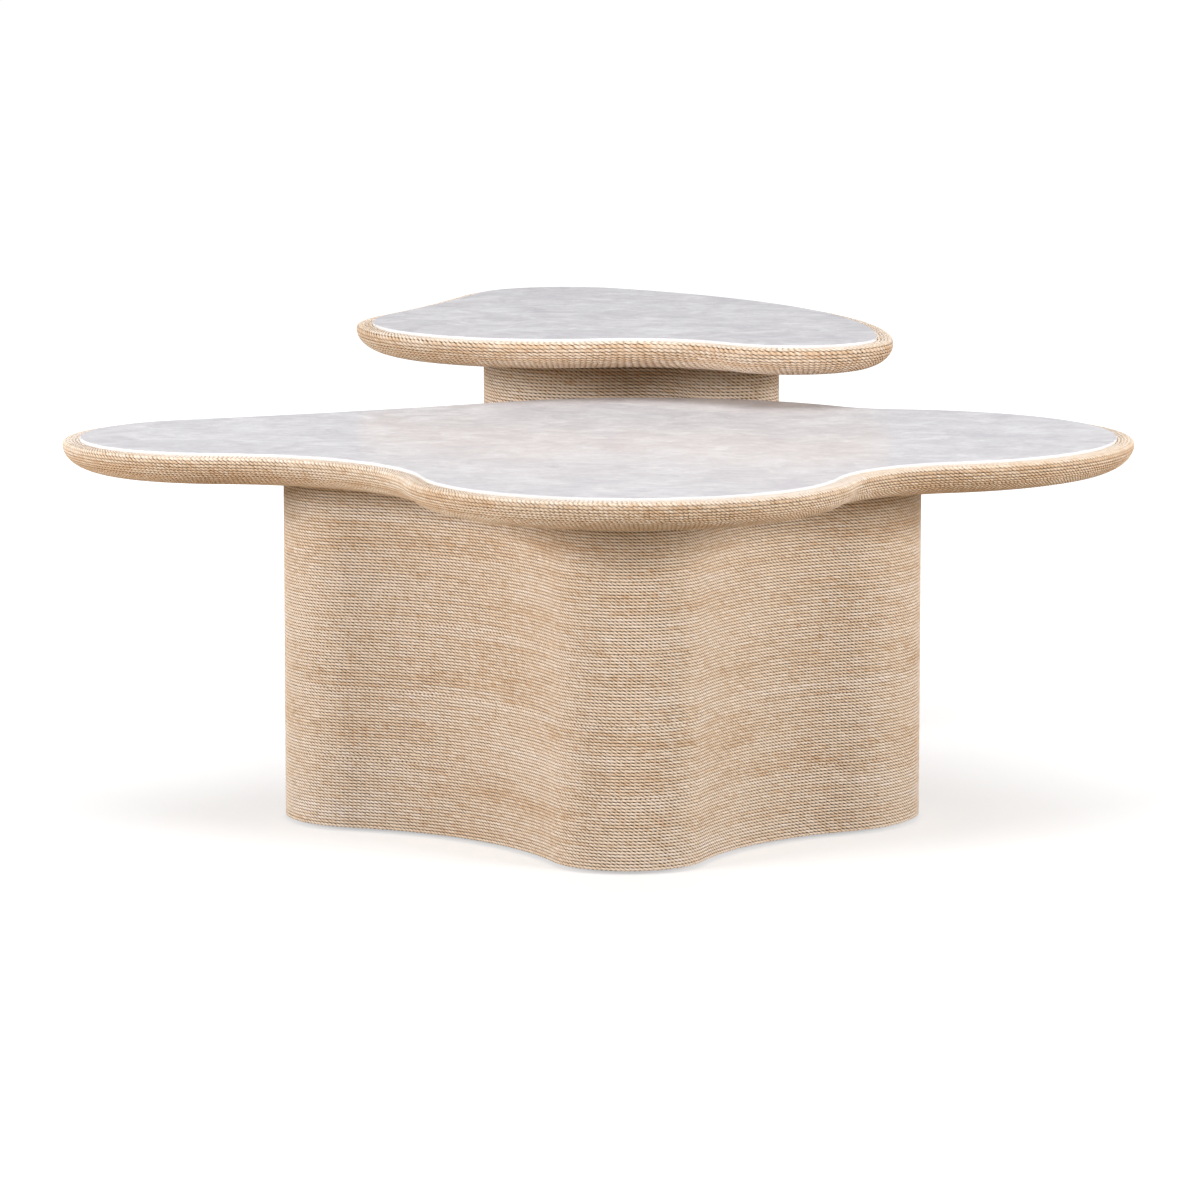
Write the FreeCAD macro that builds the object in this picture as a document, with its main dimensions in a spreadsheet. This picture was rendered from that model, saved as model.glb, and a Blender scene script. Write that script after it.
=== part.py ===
import FreeCAD, Part
import math
import os

# Two bunching tables: a low four-lobed table and a taller bean-shaped one whose top tucks over it.
# Each has a hollow curved-plywood base wound with cord, and a cord-edged top with a stone slab let in.
# Frame: X to the viewer's right, Y away from the viewer, Z up, floor at zero, both tables centred.

Vector = FreeCAD.Vector
UP = Vector(0, 0, 1)

# Driving dimensions in millimetres.
SIZES = {
    "large_width": 1141,
    "large_height": 406,
    "large_base_width": 677,
    "large_base_right": 3,
    "large_base_back": 6.5,
    "large_ring_width": 55,
    "large_post_side": 34,
    "small_width": 610,
    "small_rise": 69,
    "small_base_width": 340,
    "small_ring_width": 40,
    "small_post_side": 26,
    "small_table_right": 29,
    "table_gap": 40,
    "small_base_right": 8.5,
    "small_base_back": 32.5,
    "slab_thickness": 12,
    "slab_proud": 3,
    "slab_ease": 1.5,
    "rim_width": 18,
    "rim_corner": 1,
    "core_corner": 4,
    "rim_undercut": 45,
    "rim_height": 32,
    "large_rim_pitch": 3.45,
    "small_rim_pitch": 3.95,
    "large_rope_diameter": 2.85,
    "small_rope_diameter": 3.35,
    "rope_clearance": 0.45,
    "rope_least_gap": 0.4,
    "skin_thickness": 9,
    "former_thickness": 18,
    "glue_line": 0.3,
    "floor_gap": 4,
    "glide_diameter": 22,
    "glide_stem_diameter": 6,
    "glide_stem_length": 12,
    "glide_step": 38,
    "screw_diameter": 5,
    "screw_length": 50,
    "screw_head_diameter": 9,
    "screw_head_height": 3,
    "bolt_diameter": 8,
    "bolt_length": 30,
    "bolt_head_width": 13,
    "bolt_head_height": 5.3,
    "washer_diameter": 24,
    "washer_thickness": 2,
    "insert_diameter": 12,
    "insert_length": 13,
    "hole_clearance": 0.3,
}

# Dimensions that follow from those.
FOLLOWING = {"small_height": "=large_height + small_rise"}

# Plan outlines, lobe by lobe and counter-clockwise: reach of the lobe's centre, its bearing in degrees, its
# radius, and the radius of the bridge to the next lobe, which is hollow, or full where it is negative.
# Reach and radii are shares of the outline's width.
LARGE_TOP_SHARES = (
    (0.279, 16.0, 0.233, 0.083),
    (0.135, 69.3, 0.285, 2.023),
    (0.351, 168.1, 0.156, 0.191),
    (0.207, -81.8, 0.204, 0.141),
)
LARGE_BASE_SHARES = (
    (0.311, 14.7, 0.203, 0.226),
    (0.099, 66.3, 0.319, 1.009),
    (0.361, 169.3, 0.142, 0.478),
    (0.319, -82.5, 0.121, 0.452),
)
SMALL_TOP_SHARES = (
    (0.476, -49.3, 0.185, -1.143),
    (0.479, 103.5, 0.210, 2.951),
    (0.141, 203.6, 0.373, 0.205),
)
SMALL_BASE_SHARES = (
    (0.483, -49.2, 0.185, -1.203),
    (0.398, 103.9, 0.222, 1.113),
    (0.119, 202.9, 0.390, 0.202),
)
REAR_LOBE = 1

# Counts.
LARGE_WRAPS, LARGE_TURNS = 5, 22
SMALL_WRAPS, SMALL_TURNS = 6, 19
ROPE_SIDES = 8
CORNER_BEVELS, BEVELS = 3, 8
PROFILE_STEPS = 200
GAP_POINTS = 24

doc = FreeCAD.newDocument("bunching_tables")
sheet = doc.addObject("Spreadsheet::Sheet", "sizes")
for row, (alias, content) in enumerate({**SIZES, **FOLLOWING}.items(), start=1):
    sheet.set(f"A{row}", alias)
    sheet.set(f"B{row}", str(content))
    sheet.setAlias(f"B{row}", alias)
doc.recompute()

nodes = []


def size(alias):
    """A driving dimension, read from the sheet."""
    return float(sheet.get(alias))


def value(formula):
    """What a formula over the sheet comes to."""
    return float(sheet.evalExpression(formula))


def rope_build(name):
    """Formula for the thickness of a layer of a table's cord with its bedding."""
    return f"(sizes.{name}_rope_diameter + sizes.rope_clearance)"


def underside_of(name):
    """Formula for the height of a top's underside, where the base begins."""
    return f"(sizes.{name}_height - sizes.slab_proud - sizes.rim_height + {rope_build(name)})"


def add(kind, label, **expressions):
    """A document object whose properties follow the sheet."""
    item = doc.addObject(kind, label)
    item.Label = label
    for name, expression in expressions.items():
        item.setExpression(name.replace("__", "."), expression)
    return item


def feature(label, shape, place=None):
    """A document object that holds a ready-made shape."""
    item = doc.addObject("Part::Feature", label)
    item.Label = label
    item.Shape = shape
    if place is not None:
        item.Placement = place
    return item


def node(item):
    """Marks an object as one of the pieces of the assembly."""
    nodes.append(item)
    return item


# Outlines


def direction(angle):
    return Vector(math.cos(angle), math.sin(angle), 0)


def along(start, end, distance):
    return start + (end - start).normalize() * distance


def raised(point, height):
    return Vector(point.x, point.y, height)


class Outline:
    """A closed plan outline of lobe arcs joined tangentially by bridge arcs."""

    def __init__(self, centres, radii, bridges):
        self.centres, self.radii, self.bridges = centres, radii, bridges
        self.count = len(centres)
        self.hubs = [self.hub(index) for index in range(self.count)]
        self.starts = [self.touch(index, index - 1) for index in range(self.count)]
        self.ends = [self.touch(index, index) for index in range(self.count)]

    def hub(self, index):
        """Centre of the bridge arc that follows a lobe."""
        here, there = self.centres[index], self.centres[(index + 1) % self.count]
        first = self.radii[index] + self.bridges[index]
        second = self.radii[(index + 1) % self.count] + self.bridges[index]
        span = (there - here).Length
        forward = (first**2 - second**2 + span**2) / (2 * span)
        sideways = math.copysign(math.sqrt(first**2 - forward**2), self.bridges[index])
        line = (there - here).normalize()
        return here + line * forward + Vector(line.y, -line.x, 0) * sideways

    def touch(self, lobe, bridge):
        """Where a lobe arc and a bridge arc meet."""
        reach = math.copysign(self.radii[lobe], self.bridges[bridge])
        return along(self.centres[lobe], self.hubs[bridge], reach)

    def heading(self, index):
        """Angle from a lobe's centre to the middle of its arc, and half the angle of the arc."""
        first = self.starts[index] - self.centres[index]
        last = self.ends[index] - self.centres[index]
        opening = math.atan2(first.y, first.x)
        sweep = (math.atan2(last.y, last.x) - opening) % math.tau
        return opening + sweep / 2, sweep / 2

    def tangent(self, index, point):
        """Direction of travel at a point of a lobe's arc."""
        return UP.cross((point - self.centres[index]).normalize())

    def inset(self, distance):
        radii = [radius - distance for radius in self.radii]
        bridges = [bridge + distance for bridge in self.bridges]
        return Outline(self.centres, radii, bridges)

    def lobe(self, index, height):
        """The two halves of a lobe's arc."""
        heading, half = self.heading(index)
        centre, radius = self.centres[index], self.radii[index]
        first, last = (centre + direction(heading + turn) * radius for turn in (-half / 2, half / 2))
        crest = centre + direction(heading) * radius
        return [
            arc(self.starts[index], first, crest, height),
            arc(crest, last, self.ends[index], height),
        ]

    def bridge(self, index, height):
        """The arc from a lobe to the next one."""
        first, last = self.ends[index], self.starts[(index + 1) % self.count]
        middle = along(self.hubs[index], (first + last) / 2, abs(self.bridges[index]))
        return arc(first, middle, last, height)

    def wire(self, height=0):
        edges = []
        for index in range(self.count):
            edges += self.lobe(index, height) + [self.bridge(index, height)]
        return Part.Wire(edges)

    def face(self, hole=None):
        wires = [self.wire()] if hole is None else [self.wire(), hole.wire()]
        return Part.Face(wires, "Part::FaceMakerBullseye")

    def middle_of_lobe(self, index, inward, turned=0):
        """A point inside a lobe's crest, moved along the lobe by a distance."""
        radius = self.radii[index] - inward
        angle = self.heading(index)[0] + turned / radius
        return self.centres[index] + direction(angle) * radius, angle


def arc(first, middle, last, height):
    return Part.Arc(raised(first, height), raised(middle, height), raised(last, height)).toShape()


def outline_from(shares, width):
    """The outline of a table of shares, as wide as asked."""
    centres = [direction(math.radians(bearing)) * reach for reach, bearing, radius, bridge in shares]
    radii = [radius for reach, bearing, radius, bridge in shares]
    bridges = [bridge for reach, bearing, radius, bridge in shares]
    scale = width / Outline(centres, radii, bridges).wire().BoundBox.XLength
    centres = [centre * scale for centre in centres]
    return Outline(centres, [radius * scale for radius in radii], [bridge * scale for bridge in bridges])


# Cord windings


def turning_arc(start, heading, end):
    """The arc that leaves a point along a heading and ends at another point."""
    chord = end - start
    line = Vector(chord).normalize()
    aside = heading - line * heading.dot(line)
    bend = math.atan2(aside.Length, heading.dot(line))
    middle = start + chord / 2 + aside.normalize() * (chord.Length / 2 * math.tan(bend / 2))
    return start, middle, end


def climb(lower, upper):
    """Two arcs on the rear lobe, tangent to the turns and to each other, that lift the cord a turn."""
    (shape, height), (above, top) = lower, upper
    start, end = raised(shape.starts[REAR_LOBE], height), raised(above.ends[REAR_LOBE], top)
    leaving = shape.tangent(REAR_LOBE, shape.starts[REAR_LOBE])
    arriving = above.tangent(REAR_LOBE, above.ends[REAR_LOBE])
    gap = end - start
    spread = 2 * (1 - leaving.dot(arriving))
    pull = gap.dot(leaving + arriving)
    reach = (math.sqrt(pull**2 + spread * gap.dot(gap)) - pull) / spread
    join = (start + leaving * reach + end - arriving * reach) / 2
    first = Part.Arc(*turning_arc(start, leaving, join))
    last = Part.Arc(*reversed(turning_arc(end, -arriving, join)))
    return [first.toShape(), last.toShape()]


def level_stretch(shape, height):
    """The level part of a turn, from the end of the rear lobe round to its start."""
    edges = [shape.bridge(REAR_LOBE, height)]
    for step in range(1, shape.count):
        index = (REAR_LOBE + step) % shape.count
        edges += shape.lobe(index, height) + [shape.bridge(index, height)]
    return edges


def straight_start(edges, thick):
    """A straight end and the rest of the first arc, clear of the end of the winding below."""
    curve, last = edges[0].Curve, edges[0].LastParameter
    clear = (2 * thick + size("rope_clearance")) / edges[0].Length
    begin = edges[0].FirstParameter + (last - edges[0].FirstParameter) * clear
    corner, middle, end = (curve.value(at) for at in (begin, (begin + last) / 2, last))
    lead = Part.LineSegment(corner - curve.tangent(begin)[0] * thick, corner)
    return [lead.toShape(), Part.Arc(corner, middle, end).toShape()] + edges[1:]


def straight_end(edges, thick):
    """The edges with a straight end added."""
    tip = edges[-1].valueAt(edges[-1].LastParameter)
    heading = edges[-1].tangentAt(edges[-1].LastParameter)
    return edges + [Part.LineSegment(tip, tip + heading * thick).toShape()]


def winding_path(outline, rows, thick, carries_on):
    """Edges of a winding whose rows give each turn's inset and height, and its edges per turn.

    A winding that carries on climbs once more at its end, to where the next one begins.
    """
    turns = [(outline.inset(inset), height) for inset, height in rows]
    path = straight_start(level_stretch(*turns[0]), thick)
    for lower, upper in zip(turns, turns[1:]):
        path += climb(lower, upper) + level_stretch(*upper)
    if carries_on:
        shape, height = turns[-1]
        path += climb(turns[-1], (shape, 2 * height - turns[-2][1]))
    per_turn = len(level_stretch(*turns[0])) + len(climb(turns[0], turns[1]))
    return straight_end(path, thick), per_turn


def cord(path, thick):
    """An unbroken faceted cord along a path."""
    start = path[0].valueAt(path[0].FirstParameter)
    aside = path[0].tangentAt(path[0].FirstParameter).cross(UP)
    radius = thick / 2
    corners = []
    for side in range(ROPE_SIDES + 1):
        angle = math.tau * (side + 0.5) / ROPE_SIDES
        corners.append(start + aside * (radius * math.cos(angle)) + UP * (radius * math.sin(angle)))
    sweep = Part.BRepOffsetAPI.MakePipeShell(Part.Wire(path))
    sweep.add(Part.makePolygon(corners))
    sweep.build()
    sweep.makeSolid()
    return sweep.shape()


def least_gap(path, per_turn, thick):
    """Least room between neighbouring turns of a winding, measured on points of its middle line."""
    least = math.inf
    for edge, above in zip(path[1:], path[1 + per_turn :]):
        others = above.discretize(GAP_POINTS)
        for point in edge.discretize(GAP_POINTS):
            least = min(least, min(point.distanceToPoint(other) for other in others))
    return least - thick


def wind(label, outline, rows, thick, carries_on, place):
    """One winding of the cord as a piece of its own."""
    path, per_turn = winding_path(outline, rows, thick, carries_on)
    gap = least_gap(path, per_turn, thick)
    print(f"{label}: {len(rows)} turns, least gap {gap:.3f}")
    if gap <= size("rope_least_gap"):
        raise ValueError(f"{label}: turns too close")
    node(feature(label, cord(path, thick), place))


# Profile of the top's edge


def edge_profile(name, stand_off):
    """Inset and depth of points down the edge that the cord follows, stood off by a distance."""
    build, small = value(rope_build(name)), size("rim_corner")
    corner = small + build
    wide = size("rim_undercut") - build
    tall = size("rim_height") - corner - build
    points = []
    for step in range(PROFILE_STEPS + 1):
        angle = math.pi / 2 * step / PROFILE_STEPS
        reach = small + stand_off
        points.append((corner - reach * math.sin(angle), corner - reach * math.cos(angle)))
    for step in range(1, PROFILE_STEPS + 1):
        angle = math.pi / 2 * step / PROFILE_STEPS
        slope = math.hypot(tall * math.cos(angle), wide * math.sin(angle))
        inset = size("rim_undercut") - wide * math.cos(angle) - stand_off * tall * math.cos(angle) / slope
        depth = corner + tall * math.sin(angle) + stand_off * wide * math.sin(angle) / slope
        points.append((inset, depth))
    return points


def core_levels(name):
    """Inset and depth of the core's levels: a corner eased to clear the climbing cord, then the undercut."""
    ease = size("core_corner")
    corner = value(rope_build(name)) + ease
    turns = [math.pi / 2 * step / CORNER_BEVELS for step in range(CORNER_BEVELS)]
    eased = [(corner - ease * math.sin(angle), corner - ease * math.cos(angle)) for angle in turns]
    under = edge_profile(name, 0)[PROFILE_STEPS :: PROFILE_STEPS // BEVELS]
    return eased + [(inset, depth) for inset, depth in under if depth > corner]


def rim_rows(name, top):
    """Inset and height of each turn of cord on the edge of the top, evenly spaced along its profile.

    Where a turn climbs to the next row it cuts the profile's corner, so every second row is spaced out too.
    """
    radius, pitch = size(f"{name}_rope_diameter") / 2, size(f"{name}_rim_pitch")
    profile = edge_profile(name, radius + size("rope_clearance"))
    corner, depth = profile[0]
    begin = size("rim_width") - size("rope_clearance") - radius
    flat = [(begin + (corner - begin) * step / PROFILE_STEPS, depth) for step in range(PROFILE_STEPS)]
    rows = flat[:1]
    for point in flat + profile:
        climb = math.dist(rows[-2], point) / 2 if len(rows) > 1 else pitch
        if math.dist(rows[-1], point) >= pitch and climb >= pitch:
            rows.append(point)
    return [(inset, top - depth) for inset, depth in rows]


# Fasteners, each made once and then copied to its places


def fused(label, first, second):
    item = add("Part::Fuse", label)
    item.Base, item.Tool = first, second
    return item


def cut(label, base, tool):
    item = add("Part::Cut", label)
    item.Base, item.Tool = base, tool
    return item


def screw_master(label, extra):
    """A countersunk screw, or the hole for it: head at the origin, point upwards."""
    head = add(
        "Part::Cone",
        f"{label}_head",
        Radius1=f"sizes.screw_head_diameter / 2 + {extra}",
        Radius2=f"sizes.screw_diameter / 2 + {extra}",
        Height="sizes.screw_head_height",
    )
    shank = add(
        "Part::Cylinder",
        f"{label}_shank",
        Radius=f"sizes.screw_diameter / 2 + {extra}",
        Height=f"sizes.screw_length + {extra}",
    )
    return fused(label, head, shank)


def glide_master(label, extra):
    """A floor glide with its stem, or the hole for the stem: sole at the origin."""
    pad = add("Part::Cylinder", f"{label}_pad", Radius="sizes.glide_diameter / 2", Height="sizes.floor_gap")
    stem = add(
        "Part::Cylinder",
        f"{label}_stem",
        Radius=f"sizes.glide_stem_diameter / 2 + {extra}",
        Height=f"sizes.floor_gap + sizes.glide_stem_length + {extra}",
    )
    return fused(label, pad, stem)


def bolt_master(label):
    """A hexagon bolt, its shoulder at the origin and its point upwards."""
    head = add(
        "Part::Prism",
        f"{label}_head",
        Circumradius="sizes.bolt_head_width / 2 / cos(30 deg)",
        Height="sizes.bolt_head_height",
        Placement__Base__z="-sizes.bolt_head_height",
    )
    radius = "sizes.bolt_diameter / 2"
    shank = add("Part::Cylinder", f"{label}_shank", Radius=radius, Height="sizes.bolt_length")
    return fused(label, head, shank)


def pipe_master(label, outer, bore, height):
    """A plain round tube on the origin, such as a washer or an insert."""
    body = add("Part::Cylinder", f"{label}_body", Radius=f"{outer} / 2", Height=height)
    hole = add("Part::Cylinder", f"{label}_bore", Radius=f"{bore} / 2", Height=height)
    return cut(label, body, hole)


BOLT_BORE = "(sizes.bolt_diameter + sizes.hole_clearance)"
INSERT_BORE = "(sizes.insert_diameter + sizes.hole_clearance)"
SCREW_ROOM = "sizes.hole_clearance / 2"
screw = screw_master("screw", "0")
screw_hole = screw_master("screw_hole", SCREW_ROOM)
glide = glide_master("glide", "0")
glide_hole = glide_master("glide_hole", SCREW_ROOM)
bolt = bolt_master("bolt")
washer = pipe_master("washer", "sizes.washer_diameter", BOLT_BORE, "sizes.washer_thickness")
insert = pipe_master("insert", "sizes.insert_diameter", BOLT_BORE, "sizes.insert_length")
bolt_hole = add("Part::Cylinder", "bolt_hole", Radius=f"{BOLT_BORE} / 2", Height="sizes.former_thickness")
insert_hole = add(
    "Part::Cylinder",
    "insert_hole",
    Radius=f"{INSERT_BORE} / 2",
    Height="sizes.insert_length + sizes.hole_clearance",
)
doc.recompute()


def copies(master, points, height, upside_down=False):
    """Copies of a master at points of the plan, all at one height."""
    turn = FreeCAD.Rotation(Vector(1, 0, 0), 180 if upside_down else 0)
    placed = []
    for point in points:
        copy = master.Shape.copy()
        copy.Placement = FreeCAD.Placement(raised(point, height), turn)
        placed.append(copy)
    return placed


def group(label, solids, place):
    """Identical solids side by side as one object."""
    return feature(label, Part.makeCompound(solids), place)


# One table


def prism(label, face, bottom, height, place):
    """A straight-sided solid of a plan face, from a bottom height and as tall as the formulas say."""
    plan = feature(f"{label}_plan", face, place)
    plan.setExpression("Placement.Base.z", bottom)
    solid = add("Part::Extrusion", label, LengthFwd=height)
    solid.Base, solid.Solid = plan, True
    solid.DirMode, solid.Dir = "Custom", UP
    return solid


def post(label, point, angle, side, bottom, height, place):
    """A square post that faces its lobe."""
    item = add("Part::Box", label, Length=side, Width=side, Height=height)
    corner = FreeCAD.Placement(Vector(-value(side) / 2, -value(side) / 2, 0), FreeCAD.Rotation())
    spot = FreeCAD.Placement(raised(point, value(bottom)), FreeCAD.Rotation(UP, math.degrees(angle)))
    item.Placement = place * spot * corner
    return item


def compound(label, parts):
    item = add("Part::Compound", label)
    item.Links = parts
    return item


def build_top(name, outline, bolts, place):
    """The slab, the core under it, and the cord round the core's edge."""
    flat = value(f"sizes.{name}_height - sizes.slab_proud")
    underside = value(underside_of(name))
    seat = f"sizes.{name}_height - sizes.slab_thickness"

    let_in = outline.inset(size("rim_width"))
    blank = prism(f"{name}_slab_blank", let_in.face(), seat, "sizes.slab_thickness", place)
    doc.recompute()
    brim = blank.Shape.BoundBox.ZMax
    slab = add("Part::Fillet", f"{name}_top_slab")
    slab.Base = blank
    slab.Edges = [
        (number, size("slab_ease"), size("slab_ease"))
        for number, edge in enumerate(blank.Shape.Edges, start=1)
        if math.isclose(edge.BoundBox.ZMin, brim, abs_tol=size("slab_ease") / 2)
    ]
    node(slab)

    body = add("Part::Loft", f"{name}_core_blank")
    body.Sections = [
        feature(f"{name}_core_level_{number}", outline.inset(inset).wire(flat - depth), place)
        for number, (inset, depth) in enumerate(core_levels(name))
    ]
    body.Solid, body.Ruled = True, True
    bed = outline.inset(size("rim_width") - size("glue_line")).face()
    recess = prism(f"{name}_core_recess", bed, seat, "sizes.slab_thickness", place)
    bedded = cut(f"{name}_core_bedded", body, recess)
    holes = group(f"{name}_core_holes", copies(insert_hole, bolts, underside), place)
    node(cut(f"{name}_top_core", bedded, holes))

    node(group(f"{name}_top_inserts", copies(insert, bolts, underside), place))
    wind(f"{name}_rim_rope", outline, rim_rows(name, flat), size(f"{name}_rope_diameter"), False, place)


def build_base(name, outline, bolts, place):
    """The hollow base: two rings and a plate on posts, with a bent skin round them."""
    top = underside_of(name)
    high, low = value(top), size("floor_gap")
    thick = "sizes.former_thickness"
    plate_bottom = f"{top} - {thick}"
    skin_outer = outline.inset(value(rope_build(name)))
    skin_inner = skin_outer.inset(size("skin_thickness"))
    former = skin_inner.inset(size("glue_line"))
    ring_width = size(f"{name}_ring_width")
    ring = former.face(former.inset(ring_width))

    lobes = range(former.count)
    feet = [former.middle_of_lobe(index, ring_width / 2) for index in lobes]
    spots = [point for point, angle in feet]
    steps = (size("glide_step"), -size("glide_step"))
    pads = [former.middle_of_lobe(index, ring_width / 2, step)[0] for index in lobes for step in steps]

    low_holes = copies(screw_hole, spots, low)
    high_holes = copies(screw_hole, spots, high, True)
    screw_holes = group(f"{name}_screw_holes", low_holes + high_holes, place)
    ring_holes = group(f"{name}_ring_holes", low_holes + copies(glide_hole, pads, 0), place)
    bolt_holes = copies(bolt_hole, bolts, value(plate_bottom))
    plate_holes = group(f"{name}_plate_holes", high_holes + bolt_holes, place)

    side = f"sizes.{name}_post_side"
    foot = f"sizes.floor_gap + {thick}"
    tall = f"{plate_bottom} - sizes.floor_gap - {thick}"
    posts, mortises = [], []
    for number, (point, angle) in enumerate(feet, start=1):
        blank = post(f"{name}_post_blank_{number}", point, angle, side, foot, tall, place)
        posts.append(cut(f"{name}_post_{number}", blank, screw_holes))
        slot = f"{side} + 2 * sizes.glue_line"
        mortises.append(post(f"{name}_mortise_{number}", point, angle, slot, foot, tall, place))
    node(compound(f"{name}_base_posts", posts))

    lower = prism(f"{name}_bottom_ring_blank", ring, "sizes.floor_gap", thick, place)
    node(cut(f"{name}_base_bottom_ring", lower, ring_holes))
    middle = prism(f"{name}_middle_ring_blank", ring, f"(sizes.floor_gap + {plate_bottom}) / 2", thick, place)
    node(cut(f"{name}_base_middle_ring", middle, compound(f"{name}_mortises", mortises)))
    plate = prism(f"{name}_top_plate_blank", former.face(), plate_bottom, thick, place)
    node(cut(f"{name}_base_top_plate", plate, plate_holes))
    shell = skin_outer.face(skin_inner)
    node(prism(f"{name}_base_skin", shell, "sizes.floor_gap", f"{top} - sizes.floor_gap", place))

    screws = copies(screw, spots, low) + copies(screw, spots, high, True)
    node(group(f"{name}_frame_screws", screws, place))
    node(group(f"{name}_glides", copies(glide, pads, 0), place))
    below = value(f"{plate_bottom} - sizes.washer_thickness")
    node(group(f"{name}_bolt_washers", copies(washer, bolts, below), place))
    node(group(f"{name}_top_bolts", copies(bolt, bolts, below), place))


def wrap_base(name, outline, wraps, turns, place):
    """The cord round the base, in windings that follow on from each other."""
    low, high = size("floor_gap"), value(underside_of(name))
    pitch = (high - low) / (wraps * turns)
    thick = size(f"{name}_rope_diameter")
    for wrap in range(wraps):
        rows = [(thick / 2, low + pitch * (wrap * turns + turn + 0.5)) for turn in range(turns)]
        wind(f"{name}_base_wrap_{wrap + 1}", outline, rows, thick, wrap + 1 < wraps, place)


def shifted(outline, shift):
    return Outline([centre + shift for centre in outline.centres], outline.radii, outline.bridges)


# The pair of tables, centred together over the origin. The taller one stands back until its base clears the
# low top's rear edge by the gap, so that its own top hangs over that edge.

large_top = outline_from(LARGE_TOP_SHARES, size("large_width"))
large_base = outline_from(LARGE_BASE_SHARES, size("large_base_width"))
large_base = shifted(large_base, Vector(size("large_base_right"), size("large_base_back"), 0))
small_top = outline_from(SMALL_TOP_SHARES, size("small_width"))
small_base = outline_from(SMALL_BASE_SHARES, size("small_base_width"))
small_base = shifted(small_base, Vector(size("small_base_right"), size("small_base_back"), 0))

reach = large_top.wire().BoundBox
back = reach.YMax + size("table_gap") - small_base.wire().BoundBox.YMin
beside = Vector(size("small_table_right"), back, 0)
reach.add(shifted(small_top, beside).wire().BoundBox)
large_place = FreeCAD.Placement(Vector(-reach.Center.x, -reach.Center.y, 0), FreeCAD.Rotation())
small_place = FreeCAD.Placement(large_place.Base + beside, FreeCAD.Rotation())

for name, top_outline, base_outline, wraps, turns, place in (
    ("large", large_top, large_base, LARGE_WRAPS, LARGE_TURNS, large_place),
    ("small", small_top, small_base, SMALL_WRAPS, SMALL_TURNS, small_place),
):
    build_top(name, top_outline, base_outline.centres, place)
    build_base(name, base_outline, base_outline.centres, place)
    wrap_base(name, base_outline, wraps, turns, place)

doc.recompute()
for item in doc.Objects:
    if "Invalid" in item.State or "Error" in item.State:
        raise RuntimeError(f"{item.Label} is {item.State}")
for item in nodes:
    if item.Shape.isNull() or not item.Shape.isValid():
        raise RuntimeError(f"{item.Label} has no valid shape")

os.makedirs("parts", exist_ok=True)
for item in nodes:
    item.Shape.exportStep(f"parts/{item.Label}.step")
print(len(nodes), "pieces written")
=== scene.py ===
# %% [markdown]
# # A pair of cord-wound bunching tables
#
# Two tables stand together: a low one with a four-lobed top, and a taller one with a bean-shaped top that
# reaches over its rear edge. Each has a pale stone slab, let into a border of twisted cord, on a hollow
# base that is wound with the same cord from the floor up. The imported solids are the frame. This lesson adds
# what solids leave out: the twist of the cord, the clouds in the stone, the grain of the wood, light and a
# camera.

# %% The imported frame
import math

import bpy
import numpy as np
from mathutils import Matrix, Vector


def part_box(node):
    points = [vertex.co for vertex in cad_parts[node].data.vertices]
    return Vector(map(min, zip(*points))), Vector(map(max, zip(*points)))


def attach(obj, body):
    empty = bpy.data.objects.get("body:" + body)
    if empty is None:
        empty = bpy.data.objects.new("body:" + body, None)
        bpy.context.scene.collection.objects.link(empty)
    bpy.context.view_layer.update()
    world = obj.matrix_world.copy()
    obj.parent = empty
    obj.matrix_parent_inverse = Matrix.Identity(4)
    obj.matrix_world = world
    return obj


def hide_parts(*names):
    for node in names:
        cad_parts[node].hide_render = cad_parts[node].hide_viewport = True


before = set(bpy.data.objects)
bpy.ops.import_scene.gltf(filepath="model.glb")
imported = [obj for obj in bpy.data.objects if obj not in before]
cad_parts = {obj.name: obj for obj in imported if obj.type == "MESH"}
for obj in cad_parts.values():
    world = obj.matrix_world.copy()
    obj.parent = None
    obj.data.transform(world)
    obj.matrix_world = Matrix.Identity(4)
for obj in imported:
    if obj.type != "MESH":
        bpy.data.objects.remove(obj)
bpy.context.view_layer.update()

# %% [markdown]
# ## Camera
#
# A long lens from far off keeps upright edges nearly parallel, as product pictures do. The camera's place
# and tilt were worked out from the picture. How far the upright edges of the base draw together ties the
# tilt to the distance, and the tilt is the one at which the foot of the base comes out as a smaller copy of
# the top.

# %% A long lens, a little above the tables
EYE = (0.0017, -6.7035, 1.1627)
TILT_DOWN = math.radians(8.2)
LENS, SENSOR = 183.64, 36.0

camera = bpy.data.objects.new("camera", bpy.data.cameras.new("camera"))
camera.data.lens, camera.data.sensor_width = LENS, SENSOR
camera.location = EYE
camera.rotation_euler = (math.pi / 2 - TILT_DOWN, 0, 0)
bpy.context.collection.objects.link(camera)
bpy.context.scene.camera = camera
bpy.context.scene.view_settings.view_transform = "Standard"
print("camera at", EYE, "lens", LENS)

# %% [markdown]
# ## Plan outlines
#
# A bandsawn outline like this one is drawn with a compass: round lobes, and between them hollow or full
# arcs that run into the lobes without a corner. A spline would do as well, but with arcs the outward
# direction is known exactly at every point, and a line a fixed distance inside is found by making each
# radius that much smaller.

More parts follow.
